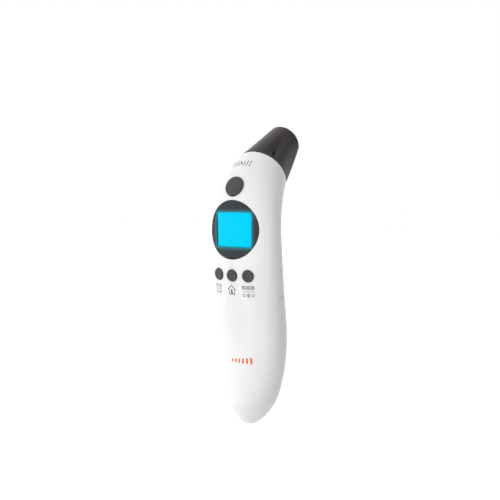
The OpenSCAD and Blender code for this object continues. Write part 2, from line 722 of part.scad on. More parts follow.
// A round wire along points that circle the Z axis
module helix_tube(path, r) {
    last = len(path) - 1;
    loft([
        for (i = [0:last])
        let (
            along = unit(path[min(i + 1, last)] - path[max(i - 1, 0)]),
            out = unit([path[i][0], path[i][1], 0]),
            across = unit(out - along * (out * along)),
            over = cross(along, across)
        )
        [for (j = [0:5]) path[i] + r * (across * cos(60 * j) + over * sin(60 * j))]
    ]);
}
module spring_contacts() color(steel) bay() {
    translate([-cell_x, cell_y, cell_low - spring_len]) coil(spring_len - 0.02);
    translate([cell_x, cell_y, cell_high + spring_len]) rotate([180, 0, 0]) coil(spring_len - 0.02);
}
module plate_contacts() color(steel) bay() {
    translate([cell_x - 2.5, cell_y - 2.8, cell_low - plate_room]) cube([5, 5.6, contact_t]);
    translate([-cell_x - 2.5, cell_y - 2.8, cell_high + plate_gap]) cube([5, 5.6, contact_t]);
}
module battery_wires() color("#b3372f") {
    for (side = [-1, 1]) wire([
        bay_place(side * 3, cell_y - 5.6, tray_high + 1.25), bay_place(side * 3, cell_y - 5.6, tray_high + 5),
        board_place(side * 9, 12.5, board_low + 1),
        board_place(side * 9, board_depth + board_t + 0.2, board_low + 2.5),
    ]);
}

front_shell();
rear_shell();
battery_door();
display_lens();
display_mask();
lens_gasket();
display_frame();
lcd_glass();
backlight_panel();
backlight_leds();
contact_strip();
main_board();
processor();
memory_chip();
crystal();
capacitors();
buzzer();
key_switches();
clock_key();
home_key();
memory_key();
scan_button();
scan_board();
scan_switch();
board_ribbon();
board_screws();
head_plate();
probe_nose();
probe_nut();
probe_window();
waveguide();
thermopile();
sensor_block();
sensor_leads();
probe_cap();
battery_tray();
battery_left();
battery_right();
spring_contacts();
plate_contacts();
battery_wires();
shell_screws();
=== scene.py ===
"""The looks of a digital ear and forehead thermometer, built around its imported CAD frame.

Shapes are worked out in millimetres in the frame's axes: +Z up the handle, the display faces -Y,
+X is the display's right-hand side. build() turns them into metres. The housing and the cap
follow the CAD model's own formulas, so their pieces lie where the CAD nodes do. The crease in
the cap, the wider opening for the display and the print bonded into the window are only here.
"""
import functools
import json
import math
import bmesh
import bpy
import numpy as np
from mathutils import Matrix, Vector
from mathutils.geometry import delaunay_2d_cdt


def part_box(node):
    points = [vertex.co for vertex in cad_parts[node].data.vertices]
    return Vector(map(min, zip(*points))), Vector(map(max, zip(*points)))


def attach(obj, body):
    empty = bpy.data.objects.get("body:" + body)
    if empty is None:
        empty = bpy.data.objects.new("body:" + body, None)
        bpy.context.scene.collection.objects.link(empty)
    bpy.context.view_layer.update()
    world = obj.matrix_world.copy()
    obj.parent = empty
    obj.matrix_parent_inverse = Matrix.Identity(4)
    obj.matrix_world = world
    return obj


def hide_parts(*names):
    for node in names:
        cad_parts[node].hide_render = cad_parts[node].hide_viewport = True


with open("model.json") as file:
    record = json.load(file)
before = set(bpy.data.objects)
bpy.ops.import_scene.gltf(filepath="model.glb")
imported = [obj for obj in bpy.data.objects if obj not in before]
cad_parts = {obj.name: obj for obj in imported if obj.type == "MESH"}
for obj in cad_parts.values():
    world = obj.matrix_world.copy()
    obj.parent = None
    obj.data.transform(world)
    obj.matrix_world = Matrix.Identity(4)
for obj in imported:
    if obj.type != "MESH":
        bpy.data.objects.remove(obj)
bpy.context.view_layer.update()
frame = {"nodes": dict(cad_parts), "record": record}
MM = 0.001
WELD = 2e-7  # points closer than this become one, in metres
SHARP = math.radians(38)  # edges that bend more than this stay crisp
FREE = -100.0  # a seam height that holds no surface back
X = np.array([1.0, 0.0, 0.0])


# ---- the CAD model's driving values
HOUSING_LEN = 133.0
GRIP_AT = 45.0
TAIL_LEN = 15.8
WALL = 2.0
REAR_SQUARE = 2.2
DOOR_END = 67.0
DOOR_GAP = 0.15
REAR_START = DOOR_END + 0.35
LENS_R = 14.15
LENS_T = 1.0
LENS_GAP = 0.1
KEY_FIT = 0.1
KEY_R = 2.85
SCAN_R = 4.9
KEY_PROUD = 0.7
KEY_AT = 79.4
KEY_GAP = 8.65
SCAN_AT = 116.1
DISPLAY_AT = 100.0
LIT_Z = 8.4
LIT_DEPTH = 3.5
GLASS_X = 10.4
GLASS_Z = 8.8
GLASS_T = 1.7
CAP_LEN = 29.4
CAP_TIP_R = 8.6
CAP_ROUND = 2.0
CAP_HOLE_R = 5.4
CAP_WALL = 1.8
CAP_DIMPLE = 1.3
CAP_SWELL = 1.0
CAP_NARROWS = (1.85, 0.8)  # how steeply the cap narrows, sideways and in depth
QUARTER_AT = 42  # degrees from the cap's sides to its valleys and swellings
VALLEY_SPREAD = 14
SWELL_SPREAD = 18
MOULD_LEAN = math.radians(-4)
CASE_SCREWS = [(72.5, 13.4), (112.0, 12.4)]  # distance along the centre line, sideways
CASE_HEAD_Y = 5.2
BOARD_POST = (12.0, -15.2)  # sideways and up from the display's middle
SCAN_POST_X = 8.2

# ---- the looks' own values
LIT_X = 10.3  # half the width of the display's opening
CREASE = 1.05  # depth of the crease in each front quarter of the cap
CREASE_START = 0.6  # from the cap's foot
CREASE_LEN = 9.5
CREASE_SPREAD = 3.5  # degrees
EDGE = 0.18  # rounding of the shells' edges
CELL = 1.1  # size of a housing face
SUPPORT = 0.35  # width of the band of even faces round a hole
CLEARING = 0.45  # at least this far from that band to the sheet's own points
ROUND_STEPS = [0.0, 0.12, 0.4, 1.0]  # shares of an edge's rounding, from the edge inwards
PRINT_LIFT = 0.03  # how far the ink stands above the plastic
PRINT_SUNK = -0.04  # how far its sides reach into the plastic


def spline(places, values):
    """A natural cubic spline through the values at the places."""
    k, v = np.array(places, float), np.array(values, float)
    n = len(k)
    h = np.diff(k)
    rows, right = np.eye(n), np.zeros(n)
    for i in range(1, n - 1):
        rows[i, i - 1:i + 2] = h[i - 1], 2 * (h[i - 1] + h[i]), h[i]
        right[i] = 6 * ((v[i + 1] - v[i]) / h[i] - (v[i] - v[i - 1]) / h[i - 1])
    bend = np.linalg.solve(rows, right)

    def curve(s):
        s = np.asarray(s, float)
        i = np.clip(np.searchsorted(k, s, side="right") - 1, 0, n - 2)
        f = (s - k[i]) / h[i]
        g = 1 - f
        smooth = (g ** 3 - g) * bend[i] + (f ** 3 - f) * bend[i + 1]
        return g * v[i] + f * v[i + 1] + h[i] ** 2 / 6 * smooth
    return curve


lean_degrees = spline([0, 30, 60, 85, 105, 120, 135], [8, -3, -10, -3.5, 7.5, 33.5, 53.5])
SIZE_AT = [0, 30, 60, 85, 105, 122, 136]
width = spline(SIZE_AT, [7.5, 16.3, 19.1, 20, 19.4, 17.2, 13.2])
front = spline(SIZE_AT, [14, 11.7, 10.9, 10.6, 11.3, 13.2, 12.9])
rear = spline(SIZE_AT, [12.3, 16.1, 16.4, 14.1, 12.7, 12.7, 12.4])


def lean(s):
    """How far the centre line leans back, in radians."""
    return np.radians(lean_degrees(s))


LINE_STEP = 0.05
LINE_END = 139.0
line_s = np.arange(0, LINE_END, LINE_STEP)
line_y = np.concatenate([[0], np.cumsum(np.sin(lean(line_s + LINE_STEP / 2)))]) * LINE_STEP
line_z = np.concatenate([[0], np.cumsum(np.cos(lean(line_s + LINE_STEP / 2)))]) * LINE_STEP
line_s = np.append(line_s, LINE_END)


def stack(x, y, z):
    return np.stack(np.broadcast_arrays(x, y, z), axis=-1).astype(float)


def line(s):
    """Points of the centre line, from the origin at the grip."""
    y = np.interp(s, line_s, line_y) - np.interp(GRIP_AT, line_s, line_y)
    z = np.interp(s, line_s, line_z) - np.interp(GRIP_AT, line_s, line_z)
    return stack(0.0, y, z)


def up(t):
    return stack(0.0, np.sin(t), np.cos(t))


def back(t):
    return stack(0.0, np.cos(t), -np.sin(t))


def unit(v):
    return v / np.linalg.norm(v, axis=-1, keepdims=True)


def signed_power(v, e):
    return np.sign(v) * np.abs(v) ** e


def tail(s, inset):
    """How much of its full width the housing has near its rounded tail."""
    u = np.clip((s - inset) / (TAIL_LEN - inset), 0, 1)
    return np.sqrt(np.maximum(0, 1 - (1 - u) ** 2))


def skin(s, turn, inset=0.0, lift=FREE):
    """The housing's surface. Turn 0 is +X, a quarter turn the rear, three quarters the front."""
    s, turn, inset = np.broadcast_arrays(s, turn, inset)
    rearward = np.sin(turn) > 1e-9
    e = np.where(rearward, 2 / REAR_SQUARE, 1.0)
    c = tail(s, inset)
    across = (width(s) - inset) * c * signed_power(np.cos(turn), e)
    depth = np.where(rearward, rear(s), front(s)) - inset
    deep = np.maximum(lift, depth * c * signed_power(np.sin(turn), e))
    return line(s) + across[..., None] * X + deep[..., None] * back(lean(s))


class Place:
    """A place with its own axes: right, inward and rise."""

    def __init__(self, point, right, inward):
        self.point = np.array(point, float)
        self.inward = unit(np.array(inward, float))
        self.right = unit(np.array(right, float))
        self.rise = np.cross(self.right, self.inward)

    def at(self, x, y, z):
        x, y, z = np.broadcast_arrays(x, y, z)
        return (self.point + x[..., None] * self.right + y[..., None] * self.inward
                + z[..., None] * self.rise)

    def matrix(self):
        m = Matrix.Identity(4)
        for i, axis in enumerate((self.right, self.inward, self.rise)):
            m.col[i][:3] = axis
        m.col[3][:3] = self.point * MM
        return m


def front_skin(s, x, lift=0.0):
    """The front surface at a distance along the centre line and a sideways place."""
    return skin(s, 2 * math.pi - np.arccos(np.clip(x / width(s), -1, 1)), -lift)


def on_front(s, x=0.0):
    """The place of a key or window on the front surface, square to it."""
    d = 0.1
    along = front_skin(s + d, x) - front_skin(s - d, x)
    inward = unit(np.cross(along, front_skin(s, x + d) - front_skin(s, x - d)))
    return Place(front_skin(s, x), [inward[1], -inward[0], 0], inward)


def on_line(s, t=None, x=0.0):
    """A place on the centre line, with the line's lean or another."""
    t = lean(s) if t is None else t
    return Place(line(s) + x * X, X, back(t))


DISPLAY = on_front(DISPLAY_AT)
SCAN = on_front(SCAN_AT)
HEAD = on_line(HOUSING_LEN)
KEYS = {"clock_key": on_front(KEY_AT, -KEY_GAP), "home_key": on_front(KEY_AT),
        "memory_key": on_front(KEY_AT, KEY_GAP)}


def turns(n):
    return np.arange(n) * 2 * math.pi / n


def quarter_round(n, start=0.0):
    """Shares (out, down) of a quarter round's radius, from its level end to its steep end."""
    return [(math.sin(t), 1 - math.cos(t)) for t in np.linspace(start, math.pi / 2, n)]


def on_surface(place, u, v, rearward=False, inset=0.0):
    """Distance and turn of the surface points straight in from (u, v) on a place's plane."""
    u, v = np.broadcast_arrays(np.asarray(u, float), np.asarray(v, float))
    s = np.full(u.shape, nearest_s(place.point)) + v
    x = place.at(u, 0, v)[..., 0]
    share = np.clip(x / (width(s) - inset), -0.999, 0.999)
    if rearward:
        turn = np.arccos(signed_power(share, REAR_SQUARE / 2))
    else:
        turn = 2 * math.pi - np.arccos(share)
    step = 1e-4

    def miss(a, b):
        gap = skin(a, b, inset) - place.point
        return gap @ place.right - u, gap @ place.rise - v
    for _ in range(8):
        m0 = miss(s, turn)
        ms = [(p - q) / step for p, q in zip(miss(s + step, turn), m0)]
        mt = [(p - q) / step for p, q in zip(miss(s, turn + step), m0)]
        det = ms[0] * mt[1] - ms[1] * mt[0]
        s = s - (m0[0] * mt[1] - m0[1] * mt[0]) / det
        turn = turn - (ms[0] * m0[1] - ms[1] * m0[0]) / det
    return s, turn


def nearest_s(point):
    """Distance along the centre line of the section that holds a point."""
    beyond = 24.0  # no section reaches this far out
    off = np.array(point) - line(line_s)
    gaps = np.abs(np.sum(off * up(lean(line_s)), axis=-1))
    near = np.linalg.norm(off, axis=-1) < beyond
    return line_s[np.argmin(np.where(near, gaps, np.inf))]


# ---- materials
class Finish:
    """A procedural material: one Principled shader and the patterns that feed it."""

    def __init__(self, name, **values):
        self.material = bpy.data.materials.new(name)
        self.material.use_nodes = True
        self.tree = self.material.node_tree
        self.shader = self.tree.nodes["Principled BSDF"]
        self.place = self.node("ShaderNodeTexCoord").outputs["Object"]
        self.normal = None
        for key, value in values.items():
            self.shader.inputs[key.replace("_", " ")].default_value = value

    def node(self, kind, **settings):
        node = self.tree.nodes.new(kind)
        for key, value in settings.items():
            setattr(node, key, value)
        return node

    def feed(self, socket, value):
        if isinstance(value, bpy.types.NodeSocket):
            self.tree.links.new(value, socket)
        else:
            socket.default_value = value

    def drive(self, name, value):
        """Feeds one of the shader's inputs."""
        self.feed(self.shader.inputs[name], value)

    def axes(self):
        """The piece's own X, Y and Z."""
        split = self.node("ShaderNodeSeparateXYZ")
        self.feed(split.inputs[0], self.place)
        return split.outputs

    def noise(self, size, detail=2.0, stretch=(1, 1, 1)):
        """A cloudy pattern with features of this size in mm."""
        spread = self.node("ShaderNodeMapping")
        self.feed(spread.inputs["Vector"], self.place)
        spread.inputs["Scale"].default_value = stretch
        node = self.node("ShaderNodeTexNoise")
        self.feed(node.inputs["Vector"], spread.outputs["Vector"])
        node.inputs["Scale"].default_value = 1 / (size * MM)
        node.inputs["Detail"].default_value = detail
        return node.outputs[0]

    def math(self, operation, a, b=0.0):
        node = self.node("ShaderNodeMath", operation=operation)
        for socket, value in zip(node.inputs, (a, b)):
            self.feed(socket, value)
        return node.outputs[0]

    def span(self, value, low, high, to_low=0.0, to_high=1.0):
        """Takes low..high to to_low..to_high, and keeps it between them."""
        node = self.node("ShaderNodeMapRange")
        for socket, v in zip(node.inputs, (value, low, high, to_low, to_high)):
            self.feed(socket, v)
        return node.outputs[0]

    def mix(self, share, a, b):
        """The colour a share of the way from a to b."""
        node = self.node("ShaderNodeMix", data_type="RGBA")
        self.feed(node.inputs[0], share)
        for socket, colour in ((node.inputs[6], a), (node.inputs[7], b)):
            self.feed(socket, (*colour, 1.0))
        return node.outputs[2]

    def bump(self, height, depth):
        """Raises the surface by a pattern, to a depth in mm."""
        node = self.node("ShaderNodeBump")
        node.inputs["Distance"].default_value = depth * MM
        self.feed(node.inputs["Height"], height)
        if self.normal:
            self.feed(node.inputs["Normal"], self.normal)
        self.normal = node.outputs["Normal"]
        self.drive("Normal", self.normal)


def tint(colour, factor):
    return tuple(min(1.0, c * factor) for c in colour)


@functools.cache
def moulded(name, colour, shift, rough, grain, depth, metallic=0.0, stretch=(1, 1, 1),
            specular=0.5):
    """A moulded or metal surface: slight cloudiness, uneven gloss and a fine grain."""
    f = Finish(name, Specular_IOR_Level=specular, Metallic=metallic)
    cloud = f.span(f.noise(grain * 18, 1.0), 0.2, 0.8)
    f.drive("Base Color", f.mix(cloud, tint(colour, 1 - shift), tint(colour, 1 + shift)))
    smear = f.span(f.noise(grain * 9, 2.0, stretch), 0.2, 0.8, rough[0], rough[1])
    f.drive("Roughness", smear)
    f.bump(f.noise(grain, 2.0, stretch), depth)
    return f.material


def white_plastic():
    return moulded("white_gloss_plastic", (0.87, 0.87, 0.865), 0.004, (0.285, 0.35), 1.4, 0.006)


def key_plastic():
    return moulded("matte_key_plastic", (0.05, 0.05, 0.052), 0.1, (0.48, 0.62), 0.35, 0.012)


def cap_plastic():
    """Soft warm black plastic, with painted light making it paler towards the tip; duller towards
    the rear.
    """
    f = Finish("dark_cap_plastic", Specular_IOR_Level=0.42)

    def across_head(axis, low, high, to_low, to_high):
        """From to_low to to_high between two distances in mm along one of the head's axes."""
        node = f.node("ShaderNodeVectorMath", operation="DOT_PRODUCT")
        f.feed(node.inputs[0], f.place)
        f.feed(node.inputs[1], axis)
        zero = float(HEAD.point @ axis)
        return f.span(node.outputs["Value"], (zero + low) * MM, (zero + high) * MM, to_low, to_high)
    cloud = f.span(f.noise(6.0), 0.3, 0.7, -0.06, 0.06)
    # painted light: the base colour runs from near black at the foot to paler at the tip, where the
    # light falls
    painted_tip_light = f.math("ADD", across_head(HEAD.rise, 2, 17, 0.06, 0.94), cloud)
    f.drive("Base Color", f.mix(painted_tip_light, (0.002, 0.0018, 0.0018), (0.042, 0.033, 0.032)))
    uneven = f.span(f.noise(1.2, 3.0), 0.3, 0.7, 0.36, 0.44)
    f.drive("Roughness", f.math("ADD", uneven, across_head(HEAD.inward, -3, 8, 0, 0.12)))
    f.bump(f.noise(0.5), 0.008)
    return f.material


def window_glass():
    """Clear glass with hardly any tint, so that the print and the display show through it."""
    f = Finish("smoked_window", Transmission_Weight=1.0, IOR=1.1)
    cloud = f.span(f.noise(6.0, 3.0), 0.3, 0.7)
    f.drive("Base Color", f.mix(cloud, (0.90, 0.92, 0.93), (0.93, 0.95, 0.96)))
    f.drive("Roughness", f.span(f.noise(3.0, 4.0), 0.35, 0.75, 0.0, 0.04))
    f.bump(f.noise(9.0, 1.0), 0.004)
    return f.material


def lit_display():
    """The lit panel: even cyan that falls off to a dark teal towards its edges."""
    f = Finish("lit_display", Emission_Strength=1.1, Specular_IOR_Level=0.0)
    own = f.axes()
    across, along = f.math("ABSOLUTE", own["X"]), f.math("ABSOLUTE", own["Z"])
    inside_x = f.span(across, (LIT_X + 0.4) * MM, (LIT_X - 0.5) * MM)
    inside_z = f.span(along, (LIT_Z + 0.4) * MM, (LIT_Z - 0.5) * MM)
    inside = f.math("MULTIPLY", inside_x, inside_z)
    inside = f.math("MULTIPLY", inside, f.span(f.noise(5.0), 0.3, 0.7, 0.97, 1.0))
    glow = f.mix(inside, (0.0, 0.05, 0.06), (0.0, 0.64, 1.0))
    f.drive("Emission Color", glow)
    f.drive("Base Color", f.mix(inside, (0.01, 0.02, 0.02), (0.0, 0.03, 0.04)))
    f.drive("Roughness", f.span(f.noise(1.2), 0.3, 0.7, 0.3, 0.4))
    f.bump(f.noise(0.25, 1.0), 0.002)
    return f.material


def print_with_painted_glow():
    """Black print with a painted glow of the display's teal light round its opening."""
    f = Finish("window_print_painted_glow", Emission_Strength=1.0, Specular_IOR_Level=0.1)
    own = f.axes()
    across = f.math("SUBTRACT", f.math("ABSOLUTE", own["X"]), LIT_X * MM)
    along = f.math("SUBTRACT", f.math("ABSOLUTE", own["Z"]), LIT_Z * MM)
    beyond = f.math("MAXIMUM", across, along)
    # painted glow: teal emission that grows towards the opening stands in for the display's light
    # falling on the print
    glow = f.math("POWER", f.span(beyond, 1.9 * MM, -0.1 * MM), 1.6)
    f.drive("Emission Color", f.mix(glow, (0, 0, 0), (0.0, 0.2, 0.26)))
    cloud = f.span(f.noise(7.0, 1.0), 0.2, 0.8)
    f.drive("Base Color", f.mix(cloud, (0.048, 0.056, 0.06), (0.056, 0.064, 0.068)))
    f.drive("Roughness", f.span(f.noise(2.0), 0.3, 0.7, 0.4, 0.5))
    f.bump(f.noise(0.4), 0.004)
    return f.material


def board_finish():
    """A circuit board: green lacquer over tracks that stand out a little."""
    f = Finish("board_green", Specular_IOR_Level=0.5)
    bricks = f.node("ShaderNodeTexBrick", offset=0.5, squash=1.0)
    turned = f.node("ShaderNodeMapping")
    f.feed(turned.inputs["Vector"], f.place)
    turned.inputs["Rotation"].default_value = (math.pi / 2, 0, 0)
    f.feed(bricks.inputs["Vector"], turned.outputs["Vector"])
    for key, value in (("Scale", 1000.0), ("Mortar Size", 0.09), ("Brick Width", 2.6),
                       ("Row Height", 0.9), ("Mortar Smooth", 0.1)):
        bricks.inputs[key].default_value = value
    tracks = bricks.outputs["Fac"]
    f.drive("Base Color", f.mix(tracks, (0.016, 0.15, 0.055), (0.035, 0.26, 0.1)))
    f.drive("Roughness", f.span(f.noise(0.8), 0.3, 0.7, 0.29, 0.4))
    f.bump(tracks, 0.03)
    return f.material


def cell_sleeve():
    """A printed battery sleeve: dark with a coloured band and bare metal at the ends."""
    metal, edge, dark, orange = ((0.62, 0.62, 0.64), (0.5, 0.5, 0.52), (0.03, 0.032, 0.036),
                                 (0.75, 0.3, 0.05))
    f = Finish("battery_sleeve")
    low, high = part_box("battery_left")
    share = f.span(f.axes()["Z"], low.z, high.z)
    steps = f.node("ShaderNodeValToRGB")
    f.feed(steps.inputs[0], share)
    steps.color_ramp.interpolation = "CONSTANT"
    bands = [(0.0, metal), (0.035, dark), (0.3, edge), (0.325, orange), (0.66, edge),
             (0.685, dark), (0.955, metal)]
    for i, (at, colour) in enumerate(bands):
        mark = steps.color_ramp.elements[i] if i < 2 else steps.color_ramp.elements.new(at)
        mark.position, mark.color = at, (*colour, 1.0)
    f.drive("Base Color", steps.outputs["Color"])
    ends = f.math("GREATER_THAN", f.math("ABSOLUTE", f.math("SUBTRACT", share, 0.495)), 0.46)
    f.drive("Metallic", ends)
    f.drive("Roughness", f.span(f.noise(2.0, 3.0), 0.3, 0.7, 0.29, 0.38))
    f.bump(f.noise(0.6), 0.01)
    return f.material


def striped_rubber():
    """The contact strip: half-millimetre stripes of conducting and plain rubber."""
    f = Finish("striped_rubber")
    wave = f.math("PINGPONG", f.math("MULTIPLY", f.axes()["X"], 1 / MM), 0.25)
    stripes = f.span(wave, 0.1, 0.15)
    f.drive("Base Color", f.mix(stripes, (0.03, 0.03, 0.03), (0.72, 0.34, 0.34)))
    f.drive("Roughness", f.span(f.noise(0.5), 0.3, 0.7, 0.6, 0.8))
    f.bump(stripes, 0.02)
    return f.material


def sensor_window():
    return moulded("sensor_window", (0.03, 0.025, 0.035), 0.1, (0.04, 0.1), 1.0, 0.002,
                   specular=0.9)


BRUSHED = (1, 1, 0.08)
# Colour, cloudiness, roughness from and to, and size and depth of the grain in mm. For metal
# also how metallic it is, and for brushed metal how its grain is stretched.
MOULDED_SLOTS = {
    "black_print": ((0.018, 0.02, 0.021), 0.12, (0.4, 0.55), 0.4, 0.004),
    "black_rubber": ((0.02, 0.02, 0.02), 0.12, (0.7, 0.85), 0.3, 0.01),
    "inner_plastic": ((0.075, 0.075, 0.08), 0.08, (0.5, 0.65), 0.4, 0.012),
    "diffuser": ((0.85, 0.93, 0.95), 0.01, (0.4, 0.5), 0.5, 0.006),
    "led": ((1.0, 0.93, 0.62), 0.03, (0.2, 0.26), 0.3, 0.004),
    "chip_black": ((0.02, 0.02, 0.021), 0.15, (0.5, 0.65), 0.2, 0.01),
    "ceramic": ((0.5, 0.33, 0.18), 0.06, (0.4, 0.5), 0.2, 0.005),
    "switch_grey": ((0.6, 0.6, 0.6), 0.03, (0.4, 0.5), 0.3, 0.008),
    "amber_film": ((0.55, 0.22, 0.05), 0.06, (0.15, 0.25), 0.8, 0.004),
    "head_grey": ((0.6, 0.61, 0.62), 0.02, (0.36, 0.48), 0.5, 0.01),
    "probe_white": ((0.8, 0.8, 0.79), 0.01, (0.29, 0.36), 0.8, 0.006),
    "wire_red": ((0.55, 0.03, 0.025), 0.06, (0.35, 0.5), 0.4, 0.008),
    "plated_steel": ((0.5, 0.5, 0.52), 0.04, (0.29, 0.4), 0.3, 0.006, 1.0, BRUSHED),
    "metal_grey": ((0.42, 0.43, 0.45), 0.05, (0.28, 0.42), 0.3, 0.008, 1.0),
    "gold_tube": ((0.85, 0.6, 0.22), 0.03, (0.1, 0.2), 0.4, 0.003, 1.0),
}
OTHER_SLOTS = {"pink_rubber": striped_rubber, "board_green": board_finish,
               "battery_sleeve": cell_sleeve, "window_glass": sensor_window}


@functools.cache
def slot_finish(slot):
    """The material of a CAD node that keeps its shape, or None if its slot has none here."""
    if slot in MOULDED_SLOTS:
        return moulded(slot, *MOULDED_SLOTS[slot])
    return OTHER_SLOTS[slot]() if slot in OTHER_SLOTS else None


# ---- mesh building
class Shape:
    """The points and faces of one piece, in millimetres. build() welds points that coincide."""

    def __init__(self):
        self.points = []
        self.faces = []
        self.count = 0

    def add(self, points, faces):
        points = np.asarray(points, float).reshape(-1, 3)
        self.faces += [tuple(self.count + i for i in f) for f in faces]
        self.points.append(points)
        self.count += len(points)

    def grid(self, rows, closed=False, skip=None):
        """Four-sided faces between rows of points. A closed grid's rows are loops."""
        n, m = rows.shape[:2]
        faces = []
        for i in range(n - 1):
            for j in range(m if closed else m - 1):
                if skip and skip(i, j):
                    continue
                k = (j + 1) % m
                faces.append((i * m + j, i * m + k, (i + 1) * m + k, (i + 1) * m + j))
        self.add(rows.reshape(-1, 3), faces)

    def rings(self, loops):
        self.grid(np.array(loops), closed=True)

    def strip(self, a, b):
        self.grid(np.array([a, b]))

    def fan(self, loop, centre):
        n = len(loop)
        self.add(np.vstack([loop, centre]), [(i, (i + 1) % n, n) for i in range(n)])

    def solid(self, loops, first=None, last=None):
        """Loops joined into one skin and closed at both ends."""
        self.rings(loops)
        self.fan(loops[0], loops[0].mean(0) if first is None else first)
        self.fan(loops[-1], loops[-1].mean(0) if last is None else last)

    def build(self, name, body, material, replaces=(), place=None):
        """Makes the Blender object, in the axes of its place if it has one."""
        mesh = bpy.data.meshes.new(name)
        points = np.vstack(self.points)
        if place is not None:
            points = (points - place.point) @ np.array([place.right, place.inward, place.rise]).T
        points = points * MM
        mesh.from_pydata(points.tolist(), [], self.faces)
        bm = bmesh.new()
        bm.from_mesh(mesh)
        bmesh.ops.remove_doubles(bm, verts=bm.verts, dist=WELD)
        bmesh.ops.dissolve_degenerate(bm, edges=bm.edges, dist=WELD)
        bmesh.ops.recalc_face_normals(bm, faces=bm.faces)
        bm.to_mesh(mesh)
        bm.free()
        mesh.shade_smooth()
        mesh.set_sharp_from_angle(angle=SHARP)
        obj = bpy.data.objects.new(name, mesh)
        bpy.context.scene.collection.objects.link(obj)
        if place is not None:
            obj.matrix_world = place.matrix()
        mesh.materials.append(material)
        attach(obj, body)
        if replaces:
            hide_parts(*replaces)


def rounding(distance, radius):
    """How far a surface draws in at a distance from a rounded edge."""
    d = np.clip(distance, 0, radius)
    return radius - np.sqrt(np.maximum(0, radius ** 2 - (radius - d) ** 2))


class Hole:
    """A round hole or post through a sheet: its place, its radius there and the rounding."""

    def __init__(self, place, radius, fillet, count):
        self.place, self.radius, self.fillet = place, radius, fillet
        self.outer = radius + fillet
        self.angle = turns(count)

    def ring(self, radius, rearward, inset=0.0):
        """The hole's outline on a skin, as distances and turns."""
        return on_surface(self.place, radius * np.cos(self.angle), radius * np.sin(self.angle),
                          rearward, inset)

    def at(self, radius, depth):
        """A level loop at a depth below the place."""
        return self.place.at(radius * np.cos(self.angle), depth, radius * np.sin(self.angle))

    def lip(self, rearward):
        """Loops from the outer surface, round the edge, to the top of the hole's wall."""
        sink = -self.place.inward if rearward else self.place.inward
        loops = []
        for out, down in quarter_round(5):
            s, turn = self.ring(self.radius + self.fillet * (1 - out), rearward)
            loops.append(skin(s, turn) + sink * (self.fillet * down))
        return loops

    def covers(self, p):
        """True if a point of the sheet is in the hole, in the band round it or close to that."""
        gap = p - self.place.point
        aside = math.hypot(gap @ self.place.right, gap @ self.place.rise)
        return aside < self.outer + SUPPORT + CLEARING


def near_seam(s, rearward, inset, lift):
    """Turns, from the seam at +X, at which the surface is each edge step above the seam."""
    shares = np.array(ROUND_STEPS)[None, :]
    depth = (rear(s) if rearward else front(s)) - inset
    reach = np.maximum(depth * tail(s, inset), 1e-6)
    rise = np.minimum((lift + EDGE * shares) / reach, 0.1 + 0.4 * shares)
    return np.arcsin(rise ** (REAR_SQUARE / 2 if rearward else 1.0))


def housing_sheet(shape, s_rows, rearward, inset, holes=(), lift=0.0, ends=None):
    """One skin of a half shell. Returns its points as rows, for joining to the other skin.
    Columns run from one seam to the other. The stretch with holes is triangulated round them.
    Given ends, the skin's edges are rounded: the two seams, and its first and last row if true."""
    n_mid = 46
    s = np.array(s_rows, float)[:, None]
    low = near_seam(s, rearward, inset, lift)
    if not rearward:
        low[:, 0] = 0
    first = low[:, -1:]
    middle = first + (math.pi - 2 * first) * (np.arange(1, n_mid) / n_mid)[None, :]
    turn = np.hstack([low, middle, math.pi - low[:, ::-1]])
    if not rearward:
        turn = turn + math.pi
    k = len(ROUND_STEPS) - 1
    draw = np.zeros(turn.shape)
    if ends:
        side = rounding(EDGE * np.array(ROUND_STEPS), EDGE)
        draw[:, :k + 1], draw[:, -k - 1:] = side, side[::-1]
        if ends[0]:
            draw = np.maximum(draw, rounding(s - s[0], EDGE))
        if ends[1]:
            draw = np.maximum(draw, rounding(s[-1] - s, EDGE))
        draw = draw * np.clip(tail(s, 0.0) * 4 - 0.5, 0, 1)
    points = skin(s, turn, inset + draw, lift if rearward else FREE)
    if not holes:
        shape.grid(points)
        return points
    margin = 2.5
    lo_s = min(h.ring(h.outer, rearward, inset)[0].min() for h in holes) - margin
    hi_s = max(h.ring(h.outer, rearward, inset)[0].max() for h in holes) + margin
    r0 = max(1, int(np.searchsorted(s[:, 0], lo_s)) - 1)
    r1 = min(len(s) - 2, int(np.searchsorted(s[:, 0], hi_s)) + 1)
    c0, c1 = k, turn.shape[1] - 1 - k
    shape.grid(points, skip=lambda i, j: r0 <= i < r1 and c0 <= j < c1)
    triangulate(shape, points, s[:, 0], turn, (r0, r1, c0, c1), rearward, inset, holes)
    return points


